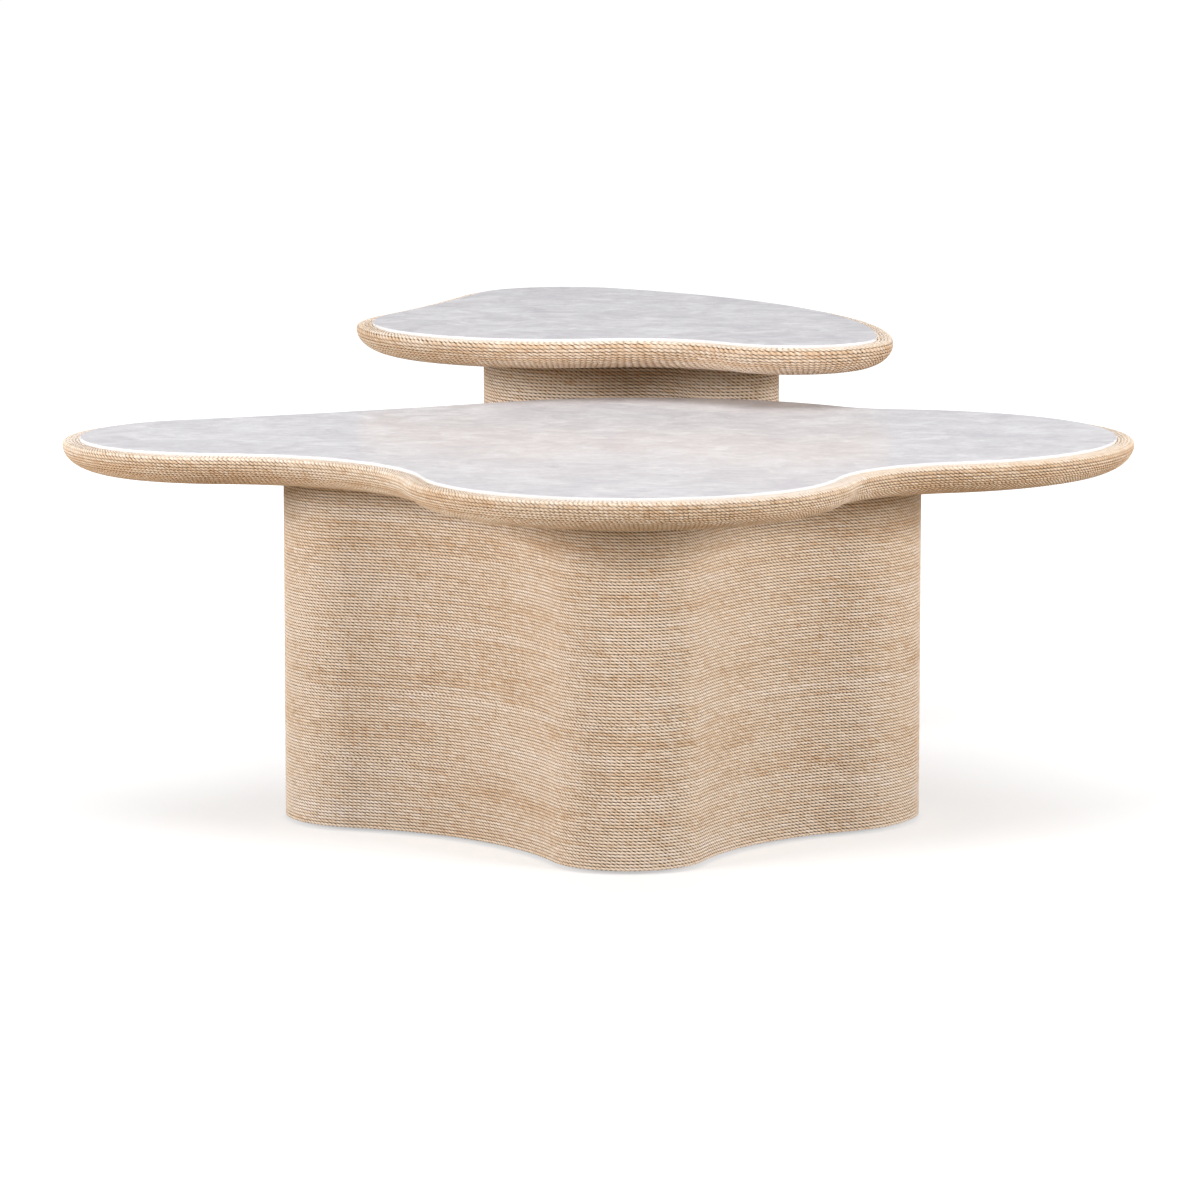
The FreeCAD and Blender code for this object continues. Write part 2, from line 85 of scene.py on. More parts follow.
# %% Lobes and the arcs between them
# Each row: reach of a lobe's centre, its bearing, its radius, and the radius of the arc to the next lobe,
# which is hollow, or full where it is negative. Reach and radii are shares of the outline's width.
LARGE_TOP_SHARES = (
    (0.279, 16.0, 0.233, 0.083),
    (0.135, 69.3, 0.285, 2.023),
    (0.351, 168.1, 0.156, 0.191),
    (0.207, -81.8, 0.204, 0.141),
)
LARGE_BASE_SHARES = (
    (0.311, 14.7, 0.203, 0.226),
    (0.099, 66.3, 0.319, 1.009),
    (0.361, 169.3, 0.142, 0.478),
    (0.319, -82.5, 0.121, 0.452),
)
SMALL_TOP_SHARES = (
    (0.476, -49.3, 0.185, -1.143),
    (0.479, 103.5, 0.210, 2.951),
    (0.141, 203.6, 0.373, 0.205),
)
SMALL_BASE_SHARES = (
    (0.483, -49.2, 0.185, -1.203),
    (0.398, 103.9, 0.222, 1.113),
    (0.119, 202.9, 0.390, 0.202),
)
LARGE_TOP_WIDTH, LARGE_BASE_WIDTH = 1.141, 0.677
SMALL_TOP_WIDTH, SMALL_BASE_WIDTH = 0.610, 0.340
# The row of the lobe at the back, where the cord climbs.
REAR_LOBE = 1
SAMPLES = 4000
TURN = 2 * math.pi


def pointing(angle):
    """Unit vectors at these angles."""
    return np.stack([np.cos(angle), np.sin(angle)], -1)


def bearing_of(vector):
    """The angle of each vector from the x axis."""
    return np.arctan2(vector[:, 1], vector[:, 0])


class Outline:
    """A closed outline as a chain of arcs that starts after the rear lobe and ends with it.

    A point of an arc is centre + radius * n, where n points outwards and turns steadily from the arc's first
    bearing. On a hollow arc the radius is negative, because its centre lies outside. An arc between two lobes
    has its centre where two circles meet: round each lobe's centre, with the arc's radius added to the
    lobe's.
    """

    def __init__(self, shares, width, middle):
        reach, bearing, lobe, bridge = np.array(shares).T
        centre = reach[:, None] * pointing(np.radians(bearing))
        line = np.roll(centre, -1, 0) - centre
        span = np.hypot(line[:, 0], line[:, 1])
        line /= span[:, None]
        first, second = lobe + bridge, np.roll(lobe, -1) + bridge
        forward = (first**2 - second**2 + span**2) / (2 * span)
        aside = np.copysign(np.sqrt(first**2 - forward**2), bridge)
        across = np.stack([line[:, 1], -line[:, 0]], -1)
        hub = centre + line * forward[:, None] + across * aside[:, None]
        leaving = bearing_of((hub - centre) * np.sign(bridge)[:, None])
        arriving = bearing_of((np.roll(hub, 1, 0) - centre) * np.sign(np.roll(bridge, 1))[:, None])
        following = np.roll(arriving, -1)
        hollow_turn = -((leaving - following) % TURN)
        bridge_turn = np.where(bridge > 0, hollow_turn, (following - leaving) % TURN)
        order = -(2 * REAR_LOBE + 1)
        self.centre = np.roll(np.stack([centre, hub], 1).reshape(-1, 2), order, 0)
        self.radius = np.roll(np.stack([lobe, -bridge], 1).ravel(), order)
        self.bearing = np.roll(np.stack([arriving, leaving], 1).ravel(), order)
        self.turn = np.roll(np.stack([(leaving - arriving) % TURN, bridge_turn], 1).ravel(), order)
        self.measure()
        points = self.at(np.linspace(0, 1, SAMPLES))[0]
        low, high = points.min(0), points.max(0)
        scale = width / (high[0] - low[0])
        self.centre = (self.centre - (low + high) / 2) * scale + np.array(middle[:2])
        self.radius = self.radius * scale
        self.measure()

    def measure(self):
        """Adds up the arcs, each as long as its radius times its turn."""
        lengths = self.radius * self.turn
        self.length = lengths.sum()
        self.stops = np.concatenate([[0], np.cumsum(lengths)])
        self.rear_share = lengths[-1] / self.length

    def at(self, share, inset=0.0):
        """Points and outward directions, by the share of the way round, a distance inside the outline."""
        way = np.clip(share, 0, 1) * self.length
        arc = np.clip(np.searchsorted(self.stops, way, side="right") - 1, 0, len(self.radius) - 1)
        outward = pointing(self.bearing[arc] + (way - self.stops[arc]) / self.radius[arc])
        return self.centre[arc] + (self.radius[arc] - inset)[..., None] * outward, outward


def middle_of(node):
    """The middle of a node's box."""
    low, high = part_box(node)
    return (low + high) / 2


large_top = Outline(LARGE_TOP_SHARES, LARGE_TOP_WIDTH, middle_of("large_top_slab"))
large_base = Outline(LARGE_BASE_SHARES, LARGE_BASE_WIDTH, middle_of("large_base_skin"))
small_top = Outline(SMALL_TOP_SHARES, SMALL_TOP_WIDTH, middle_of("small_top_slab"))
small_base = Outline(SMALL_BASE_SHARES, SMALL_BASE_WIDTH, middle_of("small_base_skin"))
outlines = {
    "low top": large_top,
    "low base": large_base,
    "taller top": small_top,
    "taller base": small_base,
}
for name, line in outlines.items():
    print("the", name, "is", round(line.length, 3), "m round")

# %% [markdown]
# ## Twisted cord
#
# The cord is two strands of twisted paper laid round each other. Seen from the side each strand shows as a
# slanting bead, and a dark groove runs between two beads. A picture of cord on a smooth wall would look
# flat along the outline, and a modifier that bends a strand would be slow over more than four hundred
# metres of cord. So the cord is one long tube whose rings are cut along the slant: rings on a bead are full
# and rings in a groove are pinched. Two rings to a bead and five corners to a ring are enough, as long as
# the edges in the grooves are marked sharp.

# %% How one cord lies
RING = np.array(
    # slant along the cord, then out, up and paleness for a full ring, then the same for a pinched one; the
    # paleness is painted shade, low in the grooves and where rows meet
    [
        (-0.50, 0.92, 1.08, 1.00, -0.20, 0.62, 0.00),
        (-0.17, 0.94, 0.46, 1.00, 0.60, 0.36, 0.42),
        (0.17, 0.94, -0.46, 1.00, 0.60, -0.36, 0.42),
        (0.50, 0.92, -1.08, 1.00, -0.20, -0.62, 0.00),
        (0.00, -0.85, 0.00, 0.00, -0.85, 0.00, 0.00),
    ]
)
CORNERS = len(RING)
# How deep the grooves are: the mean, the spread and the limits, as shares of a fully pinched ring.
PINCH_MEAN, PINCH_SPREAD, PINCH_LEAST, PINCH_MOST = 0.95, 0.14, 0.5, 1.25
# Waves that move the beads from turn to turn: size in beads, crests to a turn, and the number of turns in
# which they gain a crest, or lose one where it is negative.
WAVES = ((0.9, 2, 160), (0.6, 5, -110))
# How far along the cord a wander of its thickness or tone reaches, and how large it is.
THICKNESS_DRIFT = (0.05, 0.02)
TONE_DRIFTS = ((0.045, 0.25), (0.6, 0.3))
BEAD_TONE = 0.7
# Painted light and shade: the flat border, which faces up, is painted paler than the undercut outer edge, so
# an edge's painted shade is turned round there, by this much.
BORDER_PAINTED_LIGHT = 1.7
# On a bend the sides of a ring fall back by this share of the bend times the square of their distance from
# the ring's middle.
SAG_SHARE = 1 / 3
LEAST_TAPER = 0.08
# So little that it doesn't show, but enough to keep a count from tipping over at its end.
HAIR = 1e-6
dice = np.random.default_rng(7)
print(CORNERS, "corners to a ring of cord")


def drift(along, reach, size):
    """A slow wander: random heights every so far along the cord, joined by smooth steps."""
    place = along / reach
    step = np.floor(place).astype(int)
    heights = dice.normal(0, size, step.max() - step.min() + 2)
    part = place - step
    ease = part * part * (3 - 2 * part)
    first = heights[step - step.min()]
    return first + (heights[step - step.min() + 1] - first) * ease


def cord_middle(line, rows, turns):
    """Where a winding's middle line runs, by turns from its start.

    Gives the share of the way round, the place (inset, height, lean and bend) and the thickness. Turn k stays
    at row k, and on the rear lobe eases over to row k + 1. Before the first row and after the last the cord
    tapers into the wedge that is left there.
    """
    row = np.floor(turns).astype(int)
    part = turns - row
    climb = np.clip((part - 1 + line.rear_share) / line.rear_share, 0, 1)
    climb = climb * climb * (3 - 2 * climb)
    last = len(rows) - 1
    here = rows[np.clip(row, 0, last)]
    there = rows[np.clip(row + 1, 0, last)]
    place = here + (there - here) * climb[..., None]
    early, late = row < 0, row >= last
    lead_in = rows[0] - (rows[1] - rows[0]) * (1 - climb)[..., None] / 2
    run_out = rows[last] + (rows[last] - rows[last - 1]) * climb[..., None] / 2
    place = np.where(early[..., None], lead_in, place)
    place = np.where(late[..., None], run_out, place)
    thickness = np.where(early, climb, np.where(late, 1 - climb, 1.0))
    return part, place, np.maximum(thickness, LEAST_TAPER)


# %% A tube of full and pinched rings
def cord_tube(name, line, rows, first_turn, last_turn, half_pitch, bead, mean_inset, tone_and_painted_shade):
    """A twisted cord from one turn to another, as a mesh of pinched rings.

    Ring j lies j half beads along. A turn has a whole number of beads, so the grooves of one row meet those
    of the next, and a slow wave moves them a little from turn to turn. Each corner of a ring is moved along
    the cord by its slant, then out from the middle line by its share of the half pitch, in the plane of the
    outward direction and the vertical. Where the rows go round a bend, a ring is wider and its sides fall
    back.
    """
    around = line.length - TURN * mean_inset
    beads = round(around / bead)
    rings = int((last_turn - first_turn) * beads) * 2
    wound = first_turn + (last_turn - first_turn) * np.arange(rings) / (rings - 1)
    along = wound * around
    wave = sum(swing * np.sin(TURN * wound * (crests + 1 / lag)) for swing, crests, lag in WAVES)
    groove = np.arange(rings) % 2 == 1
    turns = wound[:, None] + (RING[None, :, 0] + wave[:, None]) / beads
    turns = np.clip(turns, first_turn, last_turn - HAIR)
    part, place, thickness = cord_middle(line, rows, turns)
    inset, height, lean, bend = np.moveaxis(place, -1, 0)
    depth = np.clip(dice.normal(PINCH_MEAN, PINCH_SPREAD, rings), PINCH_LEAST, PINCH_MOST)
    pinch = np.where(groove, depth, 0.0)
    form = RING[None, :, 1:4] + (RING[:, 4:7] - RING[:, 1:4])[None] * pinch[:, None, None]
    size = half_pitch * (1 + drift(along, *THICKNESS_DRIFT))
    shape = form[..., :2] * size[:, None, None] * thickness[..., None]
    shape[..., 1] *= 1 + half_pitch * bend
    shape[..., 0] -= bend * shape[..., 1] ** 2 * SAG_SHARE
    out = shape[..., 0] * np.cos(lean) - shape[..., 1] * np.sin(lean)
    up = shape[..., 0] * np.sin(lean) + shape[..., 1] * np.cos(lean)
    plan, outward = line.at(part)
    points = np.concatenate([plan + (out - inset)[..., None] * outward, (height + up)[..., None]], -1)

    ring = np.arange(rings - 1)[:, None] * CORNERS
    corner, after = np.arange(CORNERS)[None, :], (np.arange(CORNERS)[None, :] + 1) % CORNERS
    following = ring + CORNERS
    sides = np.stack([ring + corner, ring + after, following + after, following + corner], -1).reshape(-1, 4)
    mesh = bpy.data.meshes.new(name)
    caps = [list(range(CORNERS))[::-1], list(range((rings - 1) * CORNERS, rings * CORNERS))]
    mesh.from_pydata(points.reshape(-1, 3), [], sides.tolist() + caps)
    mesh.update(calc_edges=True)

    ends = np.empty(len(mesh.edges) * 2, np.int32)
    mesh.edges.foreach_get("vertices", ends)
    first, second = (ends.reshape(-1, 2) // CORNERS).T
    sharp = mesh.attributes.new("sharp_edge", "BOOLEAN", "EDGE")
    sharp.data.foreach_set("value", (first == second) & groove[first])
    tone = np.repeat(dice.normal(0, BEAD_TONE, rings // 2), 2)
    tone = tone + sum(drift(along, *wander) for wander in TONE_DRIFTS)
    # Painted shade and light: an edge's mean tone browns the undercut, and is turned round to pale the flat
    # border that faces up.
    tone = tone[:, None] + tone_and_painted_shade * (1 - BORDER_PAINTED_LIGHT * np.clip(np.sin(lean), 0, 1))
    # The paleness stored here is painted shade, low in the grooves and where rows meet.
    for key, values in (("paleness_and_groove_shade", form[..., 2]), ("tone", tone)):
        layer = mesh.attributes.new(key, "FLOAT", "POINT")
        layer.data.foreach_set("value", values.astype(np.float32).ravel())
    mesh.shade_smooth()
    piece = bpy.data.objects.new(name, mesh)
    bpy.context.collection.objects.link(piece)
    print(name, rings // 2, "beads,", 2 * len(sides), "triangles")
    return piece


# %% [markdown]
# ## Cord on the bases
#
# The cord starts at the floor and goes round in level rows. On the rear lobe, out of sight, it steps up to
# the next row. One tube would have too many faces for one piece, so it is cut into the windings that the
# solids have.

# %% Windings from the floor to the top
FLOOR_GAP = 0.004
LARGE_BEAD, SMALL_BEAD = 0.0047, 0.0066
LARGE_CORD, SMALL_CORD = 0.00285, 0.00335
LARGE_WINDINGS, LARGE_TURNS = 5, 22
SMALL_WINDINGS, SMALL_TURNS = 6, 19
BASE_TONE = 0.0


def level_rows(count, low, high, inset):
    """Rows of cord at even heights: inset, height, lean and bend of each."""
    height = low + (high - low) * (np.arange(count) + 0.5) / count
    return np.stack([np.full(count, inset), height, np.zeros(count), np.zeros(count)], -1)


cords = []


def wind_base(table, line, windings, turns, cord, bead):
    """Winds a base from the floor up, in as many tubes as the solids have windings of so many turns each."""
    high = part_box(f"{table}_base_skin")[1].z
    rows = level_rows(windings * turns, FLOOR_GAP, high, cord / 2)
    half_pitch = (high - FLOOR_GAP) / (windings * turns) / 2
    for number in range(windings):
        name = f"{table}_base_cord_{number + 1}"
        first = number * turns - (line.rear_share if number == 0 else 0)
        last = (number + 1) * turns
        piece = cord_tube(name, line, rows, first, last, half_pitch, bead, cord / 2, BASE_TONE)
        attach(piece, f"{table}_table")
        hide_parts(f"{table}_base_wrap_{number + 1}")
        cords.append(piece)


wind_base("large", large_base, LARGE_WINDINGS, LARGE_TURNS, LARGE_CORD, LARGE_BEAD)
wind_base("small", small_base, SMALL_WINDINGS, SMALL_TURNS, SMALL_CORD, SMALL_BEAD)

# %% [markdown]
# ## Cord on the edges of the tops
#
# On a top the rows begin beside the slab, cross a flat border, turn down round a soft corner and follow an
# undercut inwards. The profile is a line in the plane of the outward direction and the vertical, and the
# rows sit on it at equal steps. Each row leans as its place on the profile does, so its beads always face
# outwards.

# %% Rows down the edge
RIM_WIDTH, CORE_CORNER, RIM_UNDERCUT, RIM_HEIGHT = 0.018, 0.001, 0.045, 0.032
SLAB_PROUD, BEDDING = 0.003, 0.00045
LARGE_PITCH, SMALL_PITCH = 0.00345, 0.00395
LARGE_CUTS, SMALL_CUTS = (0.5,), ()
PROFILE_STEPS = 400
# Painted shade: cord on the edge of a top is browner than on the bases, for the shade under the top.
EDGE_PAINTED_SHADE = -1.2


def rim_rows(table, cord, pitch):
    """Inset, height, lean and bend of the rows on a flat, a quarter circle and a quarter ellipse.

    The bend is how far the profile turns over one row, by the length of a row. A row that lies on a bend is
    drawn wider by it, and curved, because the outside of a bend is longer than its middle.
    """
    flat_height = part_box(f"{table}_top_slab")[1].z - SLAB_PROUD
    build, stand_off = cord + BEDDING, cord / 2 + BEDDING
    angle = np.linspace(0, math.pi / 2, PROFILE_STEPS)
    bend, turn = CORE_CORNER + build, CORE_CORNER + stand_off
    corner = np.stack([bend - turn * np.sin(angle), bend - turn * np.cos(angle), math.pi / 2 - angle], -1)
    wide, tall = RIM_UNDERCUT - build, RIM_HEIGHT - bend - build
    slope = np.hypot(tall * np.cos(angle), wide * np.sin(angle))
    outward, downward = tall * np.cos(angle) / slope, wide * np.sin(angle) / slope
    inset = RIM_UNDERCUT - wide * np.cos(angle) - stand_off * outward
    depth = bend + tall * np.sin(angle) + stand_off * downward
    under = np.stack([inset, depth, -np.arctan2(downward, outward)], -1)
    begin = RIM_WIDTH - BEDDING - cord / 2
    across = np.linspace(begin, bend, PROFILE_STEPS, endpoint=False)
    level, facing_up = np.full(PROFILE_STEPS, corner[0, 1]), np.full(PROFILE_STEPS, math.pi / 2)
    flat = np.stack([across, level, facing_up], -1)
    profile = np.concatenate([flat, corner, under[1:]])
    travelled = np.concatenate([[0], np.cumsum(np.hypot(*np.diff(profile[:, :2], axis=0).T))])
    stops = np.arange(0, travelled[-1] + HAIR, pitch)
    inset, depth, lean = (np.interp(stops, travelled, column) for column in profile.T)
    before = np.interp(stops - pitch / 2, travelled, profile[:, 2])
    after = np.interp(stops + pitch / 2, travelled, profile[:, 2])
    return np.stack([inset, flat_height - depth, lean, (before - after) / pitch], -1)


def wind_rim(table, line, cord, pitch, bead, cuts):
    """Winds the edge of a top from the slab outwards and down, cut into tubes at these shares of its rows."""
    rows = rim_rows(table, cord, pitch)
    mean_inset = rows[:, 0].mean()
    stops = [-line.rear_share] + [round(len(rows) * share) for share in cuts] + [len(rows)]
    for number, (first, last) in enumerate(zip(stops, stops[1:])):
        name = f"{table}_rim_cord_{number + 1}"
        piece = cord_tube(name, line, rows, first, last, pitch / 2, bead, mean_inset, EDGE_PAINTED_SHADE)
        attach(piece, f"{table}_table")
        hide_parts(f"{table}_rim_rope")
        cords.append(piece)


wind_rim("large", large_top, LARGE_CORD, LARGE_PITCH, LARGE_BEAD, LARGE_CUTS)
wind_rim("small", small_top, SMALL_CORD, SMALL_PITCH, SMALL_BEAD, SMALL_CUTS)

# %% [markdown]
# ## Finish of the cord
#
# Paper cord is matt and straw-coloured, and it fades a little from one stretch to the next. Its grooves and
# the places where rows meet are painted brown as shade, the undercut edge of a top is painted browner as
# shade and its flat border paler as light. The mesh carries how pale and how toned each point is, painted
# shade included, so the colour follows the cord. Browner bands run level over several rows, so the noise for
# them is drawn out sideways. Fine fibres are far smaller than a bead, and are left to a bump.

# %% Nodes, the short way
class Finish:
    """A material with a few helpers, so that a finish reads as a list of what is on it."""

    def __init__(self, name):
        self.material = bpy.data.materials.new(name)
        self.material.use_nodes = True
        self.nodes, self.links = self.material.node_tree.nodes, self.material.node_tree.links
        self.shader = self.nodes["Principled BSDF"]
        self.object = self.nodes.new("ShaderNodeTexCoord").outputs["Object"]

    def feed(self, socket, source):
        """Links a socket to another, or sets it to a number or colour."""
        if isinstance(source, bpy.types.NodeSocket):
            self.links.new(source, socket)
        else:
            socket.default_value = source

    def set(self, **values):
        """Feeds the shader's sockets by their names, with _ for a space."""
        for name, source in values.items():
            self.feed(self.shader.inputs[name.replace("_", " ")], source)

    def stretched(self, scale):
        """Object coordinates times a scale, so a small scale draws a pattern out."""
        node = self.nodes.new("ShaderNodeMapping")
        node.inputs["Scale"].default_value = scale
        self.links.new(self.object, node.inputs["Vector"])
        return node.outputs["Vector"]

    def noise(self, scale, detail=4.0, vector=None, distortion=0.0, roughness=0.55):
        """Cloudy noise from 0 to 1, with about so many clouds to a metre."""
        node = self.nodes.new("ShaderNodeTexNoise")
        self.feed(node.inputs["Vector"], vector or self.object)
        settings = {"Scale": scale, "Detail": detail, "Distortion": distortion, "Roughness": roughness}
        for key, number in settings.items():
            node.inputs[key].default_value = number
        return node.outputs["Fac"]

    def attribute(self, name, output):
        """What the mesh carries under this name."""
        node = self.nodes.new("ShaderNodeAttribute")
        node.attribute_name = name
        return node.outputs[output]

    def split(self, vector):
        """The three parts of a vector."""
        node = self.nodes.new("ShaderNodeSeparateXYZ")
        self.links.new(vector, node.inputs[0])
        return node.outputs

    def math(self, operation, first, second=0.0, third=0.0):
        """One sum of up to three numbers."""
        node = self.nodes.new("ShaderNodeMath")
        node.operation = operation
        for socket, source in zip(node.inputs, (first, second, third)):
            self.feed(socket, source)
        return node.outputs[0]

    def ramp(self, factor, *stops):
        """A colour by the factor, between stops of place and colour."""
        node = self.nodes.new("ShaderNodeValToRGB")
        elements = node.color_ramp.elements
        while len(elements) < len(stops):
            elements.new(0.5)
        for element, (place, colour) in zip(elements, stops):
            element.position, element.color = place, (*colour, 1.0)
        self.links.new(factor, node.inputs["Fac"])
        return node.outputs["Color"]

    def mix(self, factor, first, second, blend="MIX"):
        """Two colours, the second laid over the first by the factor."""
        node = self.nodes.new("ShaderNodeMix")
        node.data_type, node.blend_type = "RGBA", blend
        sockets = [socket for socket in node.inputs if socket.type == "RGBA"]
        self.feed(node.inputs["Factor"], factor)
        for socket, source in zip(sockets, (first, second)):
            self.feed(socket, source if isinstance(source, bpy.types.NodeSocket) else (*source, 1.0))
        return [socket for socket in node.outputs if socket.type == "RGBA"][0]

    def band(self, factor, low, high, start=0.0, end=1.0):
        """Carries start to end over to low to high."""
        node = self.nodes.new("ShaderNodeMapRange")
        settings = {"Value": factor, "From Min": start, "From Max": end, "To Min": low, "To Max": high}
        for key, source in settings.items():
            self.feed(node.inputs[key], source)
        return node.outputs["Result"]

    def bump(self, height, strength, distance):
        """Tilts the surface as this height would."""
        node = self.nodes.new("ShaderNodeBump")
        node.inputs["Strength"].default_value, node.inputs["Distance"].default_value = strength, distance
        self.links.new(height, node.inputs["Height"])
        self.links.new(node.outputs["Normal"], self.shader.inputs["Normal"])


# %% Straw-coloured paper cord
FIBRE_SCALE, BAND_SCALE, BAND_STRETCH = 1500, 5, (1.0, 1.0, 8.0)
BAND_TONE, TONE_REACH = 4.0, 2.5


def paper_cord():
    """Straw by paleness and fibre, with painted shade in the grooves, times a shade from brown to pale by
    tone and bands, with painted shade under the edges and painted light on the flat borders.
    """
    finish = Finish("paper cord")
    paleness_and_groove_shade, tone = finish.attribute("paleness_and_groove_shade", "Fac"), finish.attribute("tone", "Fac")
    fibre = finish.noise(FIBRE_SCALE, 3.0)
    bands = finish.noise(BAND_SCALE, 5.0, finish.stretched(BAND_STRETCH), roughness=0.65)
    pale = finish.math("MULTIPLY_ADD", finish.math("SUBTRACT", fibre, 0.5), 0.5, paleness_and_groove_shade)
    # Painted shade: the dark brown at the low end is the shade in the grooves, not the cord's own colour.
    straw_and_groove_shade = finish.ramp(
        pale,
        (0.12, (0.07, 0.035, 0.016)),
        (0.42, (0.52, 0.365, 0.235)),
        (0.72, (0.78, 0.64, 0.505)),
        (1.0, (0.845, 0.71, 0.577)),
    )
    tone_and_painted_shade = finish.math("ADD", tone, finish.band(bands, -BAND_TONE, BAND_TONE))
    shade_and_tone_share = finish.band(tone_and_painted_shade, 0.0, 1.0, -TONE_REACH, TONE_REACH)
    # Painted light and shade: besides random tone, the brown end paints the shade under a top's edge and the
    # pale cool end the light on its flat border.
    shade = finish.ramp(
        shade_and_tone_share,
        (0.0, (0.82, 0.70, 0.58)),
        (0.5, (0.97, 0.96, 0.95)),
        (1.0, (1.03, 1.08, 1.18)),
    )
    finish.set(Base_Color=finish.mix(1.0, straw_and_groove_shade, shade, "MULTIPLY"), Roughness=finish.band(fibre, 0.62, 0.9))
    finish.set(Specular_IOR_Level=0.12, Sheen_Weight=0.1, Sheen_Roughness=0.4)
    finish.bump(fibre, 0.5, 0.0004)
    return finish.material


cord_finish = paper_cord()
for piece in cords:
    piece.data.materials.append(cord_finish)
print(len(cords), "lengths of cord finished")

# %% [markdown]
# ## Stone
#
# The slabs are pale and cloudy, white and a cool lilac grey, polished enough to mirror faintly what stands
# over them. The eased edge is whiter than the face. Clouds, wisps and flecks come from noise that is bent
# by its own distortion, at three sizes, with fine specks over them. The pattern uses the object's own
# metres, so it is as large on one slab as on the other.

# %% Cloudy polished stone
EASE_LOW, EASE_HIGH = 0.0012, 0.0002
STONE_EDGE = (0.82, 0.81, 0.795)
CLOUD_SCALE, WISP_SCALE, FLECK_SCALE, SPECK_SCALE = 5, 21, 75, 220
CLOUD_SHARE, WISP_SHARE, FLECK_SHARE = 0.32, 0.36, 0.32


def cloudy_stone(name, top_height):
    """Three sizes of noise, each by its share, as a ramp on the face, and a plain edge below it."""
    finish = Finish(name)
    clouds = finish.noise(CLOUD_SCALE, 9.0, distortion=1.6, roughness=0.62)
    wisps = finish.noise(WISP_SCALE, 8.0, distortion=0.8, roughness=0.7)
    flecks = finish.noise(FLECK_SCALE, 6.0, distortion=0.4, roughness=0.7)
    specks = finish.noise(SPECK_SCALE, 4.0)
    mass = finish.math("MULTIPLY_ADD", wisps, WISP_SHARE, finish.math("MULTIPLY", clouds, CLOUD_SHARE))
    mass = finish.math("MULTIPLY_ADD", flecks, FLECK_SHARE, mass)
    face = finish.ramp(
        mass,
        (0.38, (0.68, 0.657, 0.69)),
        (0.5, (0.78, 0.76, 0.78)),
        (0.6, (0.88, 0.865, 0.875)),
    )
    grain = finish.ramp(specks, (0.3, (0.965, 0.965, 0.97)), (0.7, (1.02, 1.02, 1.02)))
    face = finish.mix(1.0, face, grain, "MULTIPLY")
    height = finish.split(finish.object)[2]
    on_face = finish.band(height, 0.0, 1.0, top_height - EASE_LOW, top_height - EASE_HIGH)
    finish.set(Base_Color=finish.mix(on_face, STONE_EDGE, face))
    finish.set(Roughness=finish.band(wisps, 0.10, 0.22, 0.3, 0.7), Specular_IOR_Level=0.05)
    finish.bump(specks, 0.05, 0.0003)
    return finish.material


def dress(node, material):
    """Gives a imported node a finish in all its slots."""
    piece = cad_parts[node]
    if not piece.material_slots:
        piece.data.materials.append(material)
    for slot in piece.material_slots:
        slot.material = material


for table in ("large", "small"):
    top_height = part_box(f"{table}_top_slab")[1].z
    dress(f"{table}_top_slab", cloudy_stone(f"cloudy stone {table}", top_height))
print("slabs finished")

# %% [markdown]
# ## Hidden wood and metal
#
# Under the cord are boards, posts and fasteners. They show only from below or when the tables are taken
# apart. Plywood has layers, so its edges get stripes by height;
# solid timber has long grain, so its noise is drawn out along the post.

# %% Wood
PLY_LAYER, LAYER_CONTRAST = 0.0036, 0.12
GRAIN_SHARE, PORE_SHARE = 0.75, 0.25


def wood(name, pale, dark, stretch, scale):
    """Grain and finer pores, both drawn out where the stretch is small, as a ramp from dark to pale."""
    finish = Finish(name)
    grain = finish.noise(scale, 6.0, finish.stretched(stretch), distortion=1.2)
    pores = finish.noise(scale * 9, 3.0, finish.stretched(stretch))
    mass = finish.math("MULTIPLY_ADD", grain, GRAIN_SHARE, finish.math("MULTIPLY", pores, PORE_SHARE))
    finish.set(Base_Color=finish.ramp(mass, (0.35, dark), (0.65, pale)))
    finish.set(Roughness=finish.band(pores, 0.55, 0.8))
    finish.bump(mass, 0.25, 0.0008)
    return finish.material


def plywood(name, pale, dark, layer):
    """Grain plus a sine of the height that repeats once a layer, as a ramp from dark to pale."""
    finish = Finish(name)
    grain = finish.noise(16, 6.0, finish.stretched((1.0, 7.0, 1.0)), distortion=0.8)
    height = finish.split(finish.object)[2]
    layers = finish.math("SINE", finish.math("MULTIPLY", height, TURN / layer))
    mass = finish.math("MULTIPLY_ADD", layers, LAYER_CONTRAST, grain)
    finish.set(Base_Color=finish.ramp(mass, (0.3, dark), (0.7, pale)))
    finish.set(Roughness=finish.band(grain, 0.6, 0.82))
    finish.bump(mass, 0.2, 0.0006)
    return finish.material


WOODS = {
    "top_core": wood("core board", (0.50, 0.36, 0.23), (0.36, 0.25, 0.15), (1, 1, 1), 220),
    "base_skin": wood("bending plywood", (0.52, 0.37, 0.23), (0.36, 0.24, 0.14), (1.0, 1.0, 0.12), 40),
    "base_posts": wood("post timber", (0.66, 0.49, 0.31), (0.47, 0.32, 0.19), (1.0, 1.0, 0.07), 60),
    "base_bottom_ring": plywood("former plywood", (0.64, 0.47, 0.30), (0.40, 0.27, 0.16), PLY_LAYER),
}
WOODS["base_middle_ring"] = WOODS["base_top_plate"] = WOODS["base_bottom_ring"]
print(len(WOODS), "wooden pieces to a table")


